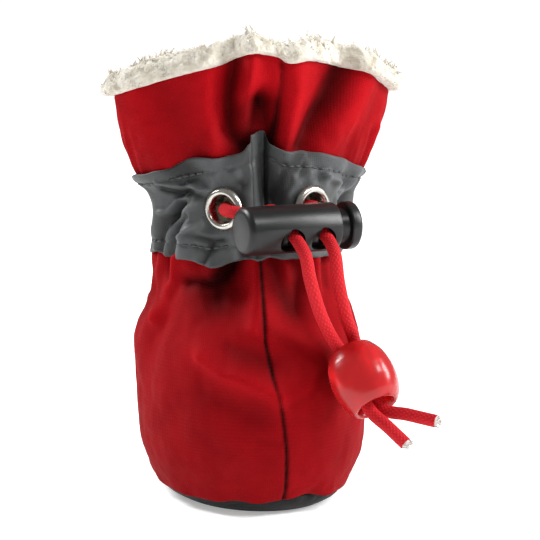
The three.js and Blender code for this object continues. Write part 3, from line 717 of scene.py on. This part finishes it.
def tapeOut(angle, level):
    degrees = math.degrees(angle)
    out = strokesAt("tape", angle, level)
    place = smoothWall(angle, level)
    out += 0.3 * softNoise(place, 4.5, 2) + 0.1 * softNoise(place, 1.9, 5)
    for stitched in tapeSizes["stitchLines"]:
        out -= hump(level, stitched, 0.1) * (0.22 + 0.2 * sin(angle * 47) * sin(angle * 13))
    puckers = smooth(9.6, 10.2, level) * smooth(10.6, 10.3, level) * smooth(-50, -40, degrees)
    out += 0.35 * sin(angle * 33) * puckers
    above = level - eyeletSize["level"]
    flange = min(hypot((angle - eyeletAngle(side)) * 16, above * 5.5) for side in (-1, 1))
    out *= smooth(3.6, 6.2, flange)
    out = max(out, -0.8)
    leftAway = (angle - eyeletAngle(-1)) * 17
    near = exp(-(abs(leftAway / 4.6) ** 3) - abs(above / 1.2) ** 3)
    out += math.tan(radians(eyeletSize["yaw"])) * leftAway * near
    out -= (1.2 + 0.3 * hump(degrees, -1.2, 0.6)) * stripShare(angle) * smooth(7.2, 8.2, level)
    return out


def tapePlace(turn, along):
    angle, low, high = angleAt(turn), tapeSizes["low"], tapeSizes["high"]
    outside, top, inside, thickness = [tapeSizes[name] for name in ("outside", "top", "inside", "thickness")]
    edge = 0.35 * softNoise(smoothWall(angle, 9), 3.0, 8)
    if along <= outside:
        level, back, bulge = low + (high - low) * along / outside, 0, 0
    elif along < top:
        share = (along - outside) / (top - outside)
        level, back, bulge = high, thickness * share, 0.25 * sin(share * pi)
    elif along <= inside:
        level, back, bulge = high - (high - low) * (along - top) / (inside - top), thickness, 0
    else:
        share = (along - inside) / (1 - inside)
        level, back, bulge = low, thickness - thickness * share, -0.25 * sin(share * pi)
    degrees = math.degrees(angle)
    top, bottom = smooth(10.4, 11, level), smooth(7.8, 7, level)
    corner = hump(degrees, -10.4, 1.5) * top
    x, y, z = faceAt(angle, level, tapeFace + tapeOut(angle, level) - back + 1.3 * corner)
    z += 1.1 * corner + 2.0 * top * stripShare(angle)
    z += top * (0.8 * hump(degrees, -40, 9) - 0.3 * hump(degrees, -24, 8))
    z -= bottom * (0.6 * hump(degrees, -30, 9) - 0.9 * hump(degrees, -88, 8))
    return x, y, z + bulge + edge * (top - bottom)


def tapeShade(turn, along):  # painted light and shade on folds and the strip's top; darker stitches and strip sides
    if along > tapeSizes["outside"]:
        return 0
    low, high = tapeSizes["low"], tapeSizes["high"]
    angle, level = angleAt(turn), low + (high - low) * along / tapeSizes["outside"]
    degrees = math.degrees(angle)
    stitched = sum(hump(level, line, 0.07) for line in tapeSizes["stitchLines"])
    sides = hump(degrees, -9.2, 0.7) + hump(degrees, 0.2, 0.7)
    # painted shadow at the top of the sunk strip
    strip = stripShare(angle) * smooth(9.6, 11, level)
    # painted shade in folds and painted highlight on ridges
    fold = max(-0.95 * strokesAt("tape", angle, level), -1)
    return min(fold + 0.2 * stitched + 0.8 * sides + 0.25 * strip, 1)


tapeShape = bentGrid(360, 100, tapePlace, (tapeSizes["around"], tapeSizes["path"]), tapeShade)
punchHoles(tapeShape)
tape = pieceFrom("reflectiveTape", tapeShape, greyTape)
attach(tape, "shoe")
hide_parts("reflective_tape")


def makeStitches():  # short threads lying in the two stitched lines
    shape = bmesh.new()
    count, thick = tapeSizes["stitches"], tapeSizes["thread"] * mm
    for line in tapeSizes["stitchLines"]:
        for index in range(count):
            angle = 2 * pi * (index + 0.5) / count
            if line > 9 and abs((math.degrees(angle) + 180) % 360 - 180 + 4) < 6:  # none across the strip
                continue
            span = tapeSizes["stitchShare"] * pi / count
            ends = [Vector(faceAt(a, line, 1.22 + tapeOut(a, line))) for a in (angle - span, angle + span)]
            middle, along = (ends[0] + ends[1]) / 2, ends[1] - ends[0]
            bmesh.ops.create_cone(
                shape, cap_ends=True, segments=6, radius1=thick, radius2=thick, depth=along.length * mm,
                matrix=placedAt(middle * mm, along.to_track_quat("Z", "Y")),
            )
    return pieceFrom("tapeStitches", shape, thread)


stitches = makeStitches()
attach(stitches, "shoe")
print("tape made")

# The fleece that rolls over the collar: a lumpy ring with a crowd of small curved locks of wool

fleeceSizes = {
    "height": 5.0, "thickness": 2.6, "overhang": 1.1, "sideOverhang": 1.3, "depth": 1.4, "locks": 3000,
    "kinds": 7, "lockLength": 2, "lockRoot": 0.5, "lockTip": 0.08,
}


def lined(angle, level, outwards):
    return Vector(faceAt(angle, level, outwards + clothOut(angle, level)))


def raggedTop(angle):  # the uneven height of the pile along the rim
    x, y, _ = smoothWall(angle, collarLevel)
    return 0.9 * softNoise((x, y, 0), 2.6, 11) + 0.6 * softNoise((x, y, 0), 1.0, 12)


@functools.cache
def fleeceProfile(angle):
    lower = 1 - 0.25 * hump(angle, 0, 0.25)
    tall, thick = fleeceSizes["height"] * lower * (1 + 0.14 * raggedTop(angle)), fleeceSizes["thickness"]
    face = fleeceSizes["overhang"] + fleeceSizes["sideOverhang"] * sin(angle) ** 4
    inside = -shoe["clothWall"] - shoe["gap"]
    deep = collarLevel - fleeceSizes["depth"]
    rolled = (  # how far out, and how high above the rim
        (inside, 0.4), (face - 0.5, 0.35), (face + 0.1, 0.8), (face + 0.35, 0.4 * tall),
        (0.7 * face, 0.72 * tall), (0, 0.95 * tall), (-1.3, tall), (inside - 0.5 * thick, 0.85 * tall),
        (inside - 0.95 * thick, 0.4 * tall),
    )
    return [
        *(lined(angle, deep + fleeceSizes["depth"] * share / 3, inside) for share in (0, 1, 2)),
        *(lined(angle, collarLevel, outwards) + Vector((0, 0, height)) for outwards, height in rolled),
        lined(angle, collarLevel - 0.5, inside - thick), lined(angle, deep, inside - thick),
    ]


def fleecePlace(turn, along):
    profile = fleeceProfile(angleAt(turn))
    at = along % 1 * len(profile)
    here, share = int(at), at % 1
    spot = profile[here].lerp(profile[(here + 1) % len(profile)], share)
    lumps = 0.42 * softNoise(spot, 1.5, 3) + 0.25 * softNoise(spot, 0.7, 6)
    away = spot - sum(profile, Vector()) / len(profile)
    return spot + away.normalized() * lumps * smooth(-6, 1.5, spot.z - profile[3].z)


def woolLock(chance):  # one curved tapering tuft, in millimetres
    shape = bmesh.new()
    length, root, tip = [fleeceSizes[name] for name in ("lockLength", "lockRoot", "lockTip")]
    bmesh.ops.create_cone(shape, cap_ends=False, segments=5, radius1=root, radius2=tip, depth=length)
    bmesh.ops.translate(shape, verts=shape.verts, vec=(0, 0, length / 2))
    long = [edge for edge in shape.edges if abs(edge.verts[0].co.z - edge.verts[1].co.z) > 1]
    bmesh.ops.subdivide_edges(shape, edges=long, cuts=3)
    curl, twist = chance.uniform(0.2, 0.5), chance.uniform(0.5, 2.0)
    for vertex in shape.verts:
        z = vertex.co.z
        vertex.co.x += curl * z * z * 0.5 * cos(twist * z)
        vertex.co.y += curl * z * z * 0.4 * sin(twist * z)
    mesh = bpy.data.meshes.new("woolLock")
    shape.to_mesh(mesh)
    shape.free()
    return mesh


def makeFleeceCollar():
    shape = bentGrid(480, 70, fleecePlace, (150, 30))
    chance = random.Random(12)
    templates = [woolLock(chance) for _ in range(fleeceSizes["kinds"])]
    for index in range(fleeceSizes["locks"]):
        angle = chance.uniform(-pi, pi)
        profile = fleeceProfile(angle)
        onTop = index % 3 == 0
        at = chance.gauss(8.6, 0.8) if onTop else chance.uniform(4.3, 11.6)
        at = min(max(at, 4.1), 11.9)
        root = profile[int(at)].lerp(profile[int(at) + 1], at % 1)
        middle = sum(profile[3:12], Vector()) / 9
        lean = Vector([chance.gauss(0, 0.35) for _ in range(3)])
        out = (root - middle).normalized()
        away = (out * (1 if onTop else 0.35) + lean + Vector((0, 0, 0.8))).normalized()
        size = chance.uniform(0.45, 0.8) * (1.25 if onTop and raggedTop(angle) > 0.2 else 0.65)
        wide = chance.uniform(0.8, 1.3)
        turn = away.to_track_quat("Z", "Y") @ Quaternion((0, 0, 1), chance.uniform(0, 6.28))
        wool = chance.choice(templates).copy()
        wool.transform(
            placedAt((root - out * 0.35 - away * 0.3) * mm, turn)
            @ Matrix.Diagonal((wide * size * mm, wide * size * mm, size * mm, 1))
        )
        shape.from_mesh(wool)
        bpy.data.meshes.remove(wool)
    return pieceFrom("fleeceCollar", shape, fleece)


collar = makeFleeceCollar()
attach(collar, "shoe")
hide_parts("fleece_collar")
print("fleece made")

# Sole and insole

def soleSpot(angle, inset, height):
    side, along = shoe["soleWidth"] / 2 - inset, cos(angle)
    reach = (soleFront if along > 0 else soleBack) - inset
    y = -math.copysign(abs(along) ** sections[0]["pinch"], along) * reach
    return side * sin(angle), y, height


def lofted(profile, columns, rows, uvSize):  # rings of (inset, height) with a closed top and bottom
    def place(turn, along):
        inset, height = between(profile, along)
        return soleSpot(2 * pi * turn, inset, height)
    shape = bentGrid(columns, rows, place, uvSize)
    bmesh.ops.holes_fill(shape, edges=[edge for edge in shape.edges if edge.is_boundary])
    bmesh.ops.recalc_face_normals(shape, faces=shape.faces)
    return shape


soleProfile = [
    (4.4, 0), (2.9, 0.35), (1.9, 0.85), (1.0, 1.4), (0.45, 2.0), (0.15, 2.6), (0.05, 3.2), (0.1, 3.6),
    (0.5, 3.9), (1.2, 3.95),
]
sole = pieceFrom("rubberSole", lofted(soleProfile, 200, 28, (130, 8)), rubber, sharp=40)
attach(sole, "shoe")
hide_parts("outsole")
padProfile = [(1.3, 3.6), (1.1, 3.9), (1.1, 4.6), (1.4, 5.0), (2.2, 5.3)]
pad = pieceFrom("fleecyInsole", lofted(padProfile, 160, 16, (130, 8)), fleece, sharp=50)
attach(pad, "shoe")
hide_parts("insole")
print("sole made")

# Eyelets

eyeletProfile = [
    (2.6, -3.2), (4.0, -3.2), (4.1, -3.1), (4.1, -2.8), (4.0, -2.7), (3.0, -2.7), (3.0, 0.2), (3.9, 0.2),
    (4.1, 0.4), (4.1, 0.65), (3.95, 0.95), (3.65, 1.25), (3.3, 1.4), (3.0, 1.35), (2.75, 1.1), (2.62, 0.7),
    (2.6, 0.3), (2.6, -3.2),
]


def makeEyelet(name, side):
    shape = spun(eyeletProfile, 48)
    bmesh.ops.transform(shape, matrix=placedAt(eyeletSpot(side) * mm, eyeletTurn(side)), verts=shape.verts)
    return pieceFrom(name, shape, nickel, sharp=60)


for name, side, node in (("leftEyelet", -1, "eyelet_left"), ("rightEyelet", 1, "eyelet_right")):
    ring = makeEyelet(name, side)
    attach(ring, "shoe")
    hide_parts(node)
print("eyelets made")

# The cord lock: barrel, sprung plunger and spring, made along Y and laid in place

lock = {"centre": (1.37, -24.10, 54.37), "axis": (0.978148, 0.207912, 0), "holeTilt": 28, "hole": 2.5}
lockAxis = Vector(lock["axis"])
lockForward = Vector((lockAxis.y, -lockAxis.x, 0))
holeTilt = radians(lock["holeTilt"])
lockHole = lockForward * cos(holeTilt) - Vector((0, 0, sin(holeTilt)))
lockTurn = Matrix((lockAxis.cross(lockHole), lockAxis, lockHole)).transposed().to_4x4()
lockPlace = Matrix.Translation(Vector(lock["centre"]) * mm) @ lockTurn


def drilled(name, profile, places, body, node):  # a turned part with the cord holes drilled through it
    piece = pieceFrom(name, spun(profile, 72), blackPlastic)
    drills = bmesh.new()
    for along in places:
        bmesh.ops.create_cone(
            drills, cap_ends=True, segments=48, radius1=lock["hole"] * mm, radius2=lock["hole"] * mm,
            depth=24 * mm, matrix=Matrix.Translation((0, along * mm, 0)),
        )
    drill = pieceFrom("drill", drills)
    cut = piece.modifiers.new("holes", "BOOLEAN")
    cut.object, cut.operation, cut.solver = drill, "DIFFERENCE", "EXACT"
    soften = piece.modifiers.new("soften", "BEVEL")
    soften.width, soften.segments = 0.12 * mm, 2
    soften.limit_method, soften.angle_limit = "ANGLE", radians(38)
    finished = meshOf(piece)
    piece.modifiers.clear()
    piece.data = finished
    bpy.data.objects.remove(drill)
    piece.data.shade_smooth()
    piece.data.set_sharp_from_angle(angle=radians(35))
    piece.data.transform(lockPlace)
    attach(piece, body)
    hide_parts(node)
    return piece


barrelProfile = [
    (0, -10.26), (3.3, -10.26), (3.75, -10.15), (4.15, -9.9), (4.4, -9.55), (4.5, -9.1), (4.5, 8.5),
    (4.42, 8.7), (4.2, 8.74), (3.7, 8.74), (3.6, 8.6), (3.6, -9.3), (0, -9.36),
]
barrel = drilled("lockBarrel", barrelProfile, (-1.49, 4.91), "shoe", "lock_barrel")
plungerProfile = [
    (0, -2.79), (3.2, -2.79), (3.3, -2.65), (3.3, 10.84), (3.9, 10.9), (4.3, 11.0), (4.5, 11.25),
    (4.5, 12.5), (4.4, 12.8), (4.15, 13.0), (3.8, 13.04), (0, 13.04),
]
plunger = drilled("lockPlunger", plungerProfile, (0.51, 6.91), "plunger", "lock_plunger")
print("lock made")

# Cords: the same routes as the solids, in metres

leftRoute = [
    (-0.0075, -0.0113, 0.0572), (-0.0084, -0.0137, 0.0572), (-0.0088, -0.0155, 0.0572),
    (-0.0078, -0.0177, 0.057), (-0.0054, -0.0187, 0.0567), (-0.0026, -0.0186, 0.0569),
    (-0.0007, -0.0187, 0.0572), (-0.00005, -0.0196, 0.0569), (0.0003, -0.0213, 0.0559),
    (0.00091, -0.0242, 0.0544), (0.0019, -0.0289, 0.0518), (0.0024, -0.0306, 0.05), (0.0031, -0.031, 0.046),
    (0.0056, -0.0296, 0.039), (0.0088, -0.0274, 0.0336), (0.0106, -0.0275, 0.031), (0.012, -0.0314, 0.0264),
    (0.0134, -0.0352, 0.0218), (0.0157, -0.0386, 0.0193), (0.0182, -0.0414, 0.0166),
]
rightRoute = [
    (0.0075, -0.0113, 0.0572), (0.0084, -0.0136, 0.0572), (0.0087, -0.0149, 0.0572),
    (0.0082, -0.0165, 0.0572), (0.007, -0.0173, 0.0572), (0.00625, -0.0181, 0.057),
    (0.00636, -0.019, 0.0565), (0.0067, -0.0206, 0.0556), (0.00717, -0.0229, 0.0544),
    (0.0081, -0.0276, 0.0518), (0.0084, -0.0294, 0.0498), (0.009, -0.0296, 0.045), (0.0112, -0.0274, 0.038),
    (0.0133, -0.0256, 0.0334), (0.0134, -0.0265, 0.031), (0.0148, -0.0304, 0.0264),
    (0.0161, -0.0343, 0.0218), (0.0198, -0.038, 0.0212), (0.024, -0.0412, 0.0204),
]
cordSizes = {"diameter": 0.0024, "steps": 14}


def smoothPath(points, steps):  # a centripetal curve through the points
    points = [Vector(point) for point in points]
    points = [2 * points[0] - points[1], *points, 2 * points[-1] - points[-2]]
    line = []
    for before, here, following, after in zip(points, points[1:], points[2:], points[3:]):
        spans = ((before, here), (here, following), (following, after))
        first, middle, last = [max((b - a).length, 1e-6) ** 0.5 for a, b in spans]
        sharpHere, sharpNext = (following - before) / (first + middle), (after - here) / (middle + last)
        along = (following - here) / middle
        slopeHere = (here - before) / first - sharpHere + along
        slopeNext = along - sharpNext + (after - following) / last
        for step in range(steps):
            line.append(bend(here, following, slopeHere * middle, slopeNext * middle, step / steps))
    return line + [points[-2]]


def pathLength(line):
    return sum((b - a).length for a, b in zip(line, line[1:]))


def wireMesh(name, line, radius, sides, material):  # a round wire along a line, its UV map in millimetres
    curve = bpy.data.curves.new(name, "CURVE")
    curve.dimensions, curve.twist_mode = "3D", "MINIMUM"
    curve.bevel_depth, curve.bevel_resolution, curve.use_fill_caps = radius, sides // 4 - 1, True
    spline = curve.splines.new("POLY")
    spline.points.add(len(line) - 1)
    for point, spot in zip(spline.points, line):
        point.co = (*spot, 1)
    holder = laid(name, curve)
    mesh = meshOf(holder)
    bpy.data.objects.remove(holder)
    mesh.shade_smooth()
    mesh.set_sharp_from_angle(angle=radians(50))
    if mesh.uv_layers:
        longer, around = pathLength(line) * 1000, 2 * pi * radius * 1000
        for loop in mesh.uv_layers[0].data:
            loop.uv = loop.uv.x * longer, loop.uv.y * around
    mesh.materials.clear()
    mesh.materials.append(material)
    return laid(name, mesh)


def frayedTip(name, line):  # the pale core and a few yarns that stand out at a cut end
    end, along = line[-1], (line[-1] - line[-3]).normalized()
    chance = random.Random(len(line))
    shape = bmesh.new()
    facing = along.to_track_quat("Z", "Y")
    bmesh.ops.create_uvsphere(
        shape, u_segments=16, v_segments=8, radius=0.95 * mm,
        matrix=placedAt(end, facing) @ Matrix.Diagonal((1, 1, 0.7, 1)),
    )
    for _ in range(26):
        turn, reach = chance.uniform(0, 6.28), chance.uniform(0.2, 0.95)
        root = facing.to_matrix() @ Vector((cos(turn), sin(turn), 0)) * reach * mm
        aim = (along * 1.4 + root / mm * 0.35 + Vector([chance.gauss(0, 0.2) for _ in range(3)])).normalized()
        bmesh.ops.create_cone(
            shape, cap_ends=True, segments=5, radius1=0.16 * mm, radius2=0.05 * mm, depth=1.3 * mm,
            matrix=placedAt(end + root + aim * 0.4 * mm, aim.to_track_quat("Z", "Y")),
        )
    return pieceFrom(name, shape, cordCore)


leftLine, rightLine = smoothPath(leftRoute, cordSizes["steps"]), smoothPath(rightRoute, cordSizes["steps"])
leftCord = wireMesh("leftCord", leftLine, cordSizes["diameter"] / 2, 20, redCord)
rightCord = wireMesh("rightCord", rightLine, cordSizes["diameter"] / 2, 20, redCord)
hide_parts("drawcord_left")
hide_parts("drawcord_right")
leftTip, rightTip = frayedTip("leftTip", leftLine), frayedTip("rightTip", rightLine)

# The spring behind the plunger, squashed when the button is pressed

springSizes = {"turns": 5, "radius": 2.4, "wire": 0.3, "start": -8.76, "length": 5.37, "steps": 240}
springLine = []
for step in range(springSizes["steps"] + 1):
    share = step / springSizes["steps"]
    turned = 2 * pi * springSizes["turns"] * share
    along = springSizes["start"] + springSizes["length"] * share
    across, upwards = springSizes["radius"] * cos(turned), springSizes["radius"] * sin(turned)
    springLine.append(lockPlace @ (Vector((across, along, upwards)) * mm))
spring = wireMesh("lockSpring", springLine, springSizes["wire"] * mm, 12, springSteel)
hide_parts("lock_spring")
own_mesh(spring)

# The bell-shaped bead that both cords run through

bead = {"centre": (13.48, -30.64, 26.88), "axis": (0.22, -0.62, -0.75), "half": 6.2}
beadRows = [  # share of the half length, radius in millimetres, how square the ring is
    (-1, 3.6, 2), (-0.97, 3.95, 2.1), (-0.88, 4.4, 2.3), (-0.7, 5.05, 2.45), (-0.52, 5.55, 2.6),
    (-0.3, 5.9, 2.65), (-0.05, 6.1, 2.7), (0.2, 6.08, 2.7), (0.4, 5.92, 2.7), (0.6, 5.6, 2.55),
    (0.78, 5.15, 2.4), (0.92, 4.6, 2.2), (0.98, 4.25, 2.1), (1, 4.0, 2.05), (0.99, 3.75, 2),
    (0.93, 3.55, 2), (0.8, 3.3, 2), (0.6, 3.1, 2), (0.2, 3.0, 2), (-0.6, 3.0, 2), (-0.9, 3.0, 2),
    (-0.97, 3.2, 2), (-1, 3.6, 2),
]


def beadPlace(turn, along):
    share, radius, square = between(beadRows, along)
    x, z = sin(2 * pi * turn), cos(2 * pi * turn)
    reach = radius / (abs(x) ** square + abs(z) ** square) ** (1 / square)
    return reach * x, share * bead["half"], reach * z


beadShape = bentGrid(64, 66, beadPlace, (36, 30))
beadAxis = Vector(bead["axis"]).normalized()
beadPlaced = placedAt(Vector(bead["centre"]) * mm, Vector((0, 1, 0)).rotation_difference(beadAxis))
bmesh.ops.transform(beadShape, matrix=beadPlaced, verts=beadShape.verts)
cordBead = pieceFrom("cordBead", beadShape, redPlastic)
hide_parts("cord_bead")

for loose in (leftCord, rightCord, leftTip, rightTip, spring, cordBead):
    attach(loose, "shoe")
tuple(leftRoute[0])
pathLength(leftLine)
[list(spot) for spot in leftLine]
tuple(rightRoute[0])
pathLength(rightLine)
[list(spot) for spot in rightLine]
print("cords, spring and bead made")

# Floor and last steps

floorSizes = {"half": 12, "near": (0.3, 0.34), "far": (1.6, 0.8)}  # metres away, and its own light there
floorShape = bmesh.new()
bmesh.ops.create_grid(floorShape, x_segments=1, y_segments=1, size=floorSizes["half"])
floorMaterial, floorTree = newMaterial("paperFloor")
floorPlace = addNode(floorTree, "TexCoord", out="Object")
(near, nearGlow), (far, farGlow) = floorSizes["near"], floorSizes["far"]
floorGlow = addNode(floorTree, "MapRange", {
    "Value": addNode(floorTree, "VectorMath", {0: floorPlace}, "Value", operation="LENGTH"),
    "From Min": near, "From Max": far, "To Min": nearGlow, "To Max": farGlow,
})
surfaced(
    floorMaterial, Roughness=0.9, Base_Color=linear("#f6f6f6"), Emission_Color=linear("#ffffff"),
    Emission_Strength=floorGlow,
)
floor = pieceFrom("floor", floorShape, floorMaterial)

print("finished")
